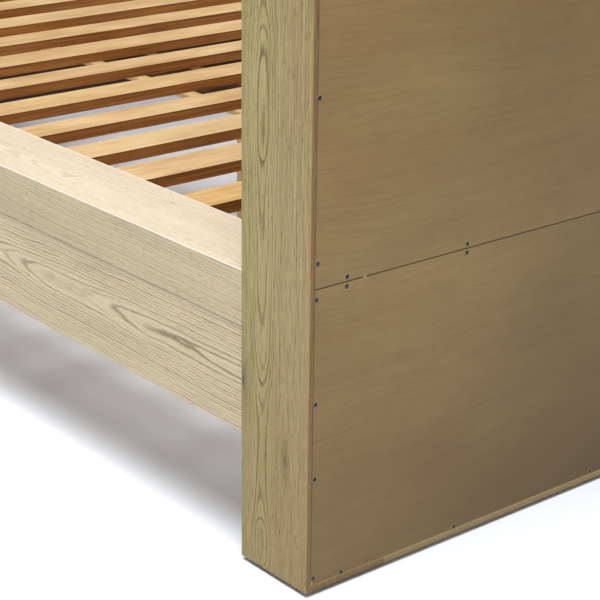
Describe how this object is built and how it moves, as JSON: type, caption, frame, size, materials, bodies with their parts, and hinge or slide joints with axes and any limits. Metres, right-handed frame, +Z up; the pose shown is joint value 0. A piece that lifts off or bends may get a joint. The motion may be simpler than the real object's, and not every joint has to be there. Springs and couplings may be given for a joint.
{
  "type": "four poster canopy bed",
  "caption": "King-size oak bed with square posts joined at the top by canopy rails, a panelled headboard, a box footboard and a slatted base on two support beams.",
  "frame": {"origin": "centre of the bed's footprint on the floor", "axes": "+Y to the headboard, +X to the right hand of someone standing at the foot and facing the headboard, +Z up"},
  "size_m": [2.203, 2.311, 2.108],
  "materials": {
    "oak": "natural oak veneer, brushed and matt lacquered",
    "rail_oak": "pale limed oak veneer, brushed and matt lacquered",
    "plywood": "stained plywood, matt",
    "slat_wood": "planed timber, unfinished",
    "inner_timber": "planed timber, unfinished",
    "steel": "zinc plated",
    "black_steel": "blackened, satin",
    "felt": "dense felt"
  },
  "bodies": {
    "bed_frame": {"post_foot_left": "oak", "post_head_left": "oak", "post_foot_right": "oak", "post_head_right": "oak", "glide_foot_left": "felt", "glide_head_left": "felt", "glide_foot_right": "felt", "glide_head_right": "felt", "side_rail_left_upper": "rail_oak", "side_rail_left_lower": "rail_oak", "hook_plate_foot_left": "steel", "hook_plate_head_left": "steel", "side_rail_right_upper": "rail_oak", "side_rail_right_lower": "rail_oak", "hook_plate_foot_right": "steel", "hook_plate_head_right": "steel", "slat_ledger_left": "inner_timber", "slat_ledger_right": "inner_timber", "slat_01": "slat_wood", "slat_02": "slat_wood", "slat_03": "slat_wood", "slat_04": "slat_wood", "slat_05": "slat_wood", "slat_06": "slat_wood", "slat_07": "slat_wood", "slat_08": "slat_wood", "slat_09": "slat_wood", "slat_10": "slat_wood", "slat_11": "slat_wood", "slat_12": "slat_wood", "slat_13": "slat_wood", "beam_web_left": "inner_timber", "beam_flange_left": "inner_timber", "beam_hanger_foot_left": "steel", "beam_hanger_head_left": "steel", "support_leg_left": "inner_timber", "leg_insert_left": "steel", "beam_web_right": "inner_timber", "beam_flange_right": "inner_timber", "beam_hanger_foot_right": "steel", "beam_hanger_head_right": "steel", "support_leg_right": "inner_timber", "leg_insert_right": "steel", "headboard_face": "oak", "headboard_cap": "oak", "headboard_bottom_rail": "oak", "headboard_seam_rail": "inner_timber", "headboard_top_rail": "inner_timber", "back_panel_lower": "plywood", "back_panel_upper": "plywood", "footboard_outer_face": "oak", "footboard_inner_face": "oak", "footboard_cap": "oak", "footboard_bottom_rail": "inner_timber", "canopy_rail_left": "oak", "canopy_rail_right": "oak", "canopy_rail_foot": "oak", "canopy_rail_head": "oak"},
    "levelling_foot_left": {"levelling_foot_left": "black_steel"},
    "levelling_foot_right": {"levelling_foot_right": "black_steel"}
  },
  "joints": [
    {"name": "levelling_foot_left_screw", "type": "slide", "parent": "bed_frame", "child": "levelling_foot_left", "axis": [0, 0, -1], "range_m": [0, 0.012]},
    {"name": "levelling_foot_right_screw", "type": "slide", "parent": "bed_frame", "child": "levelling_foot_right", "axis": [0, 0, -1], "range_m": [0, 0.012]}
  ]
}
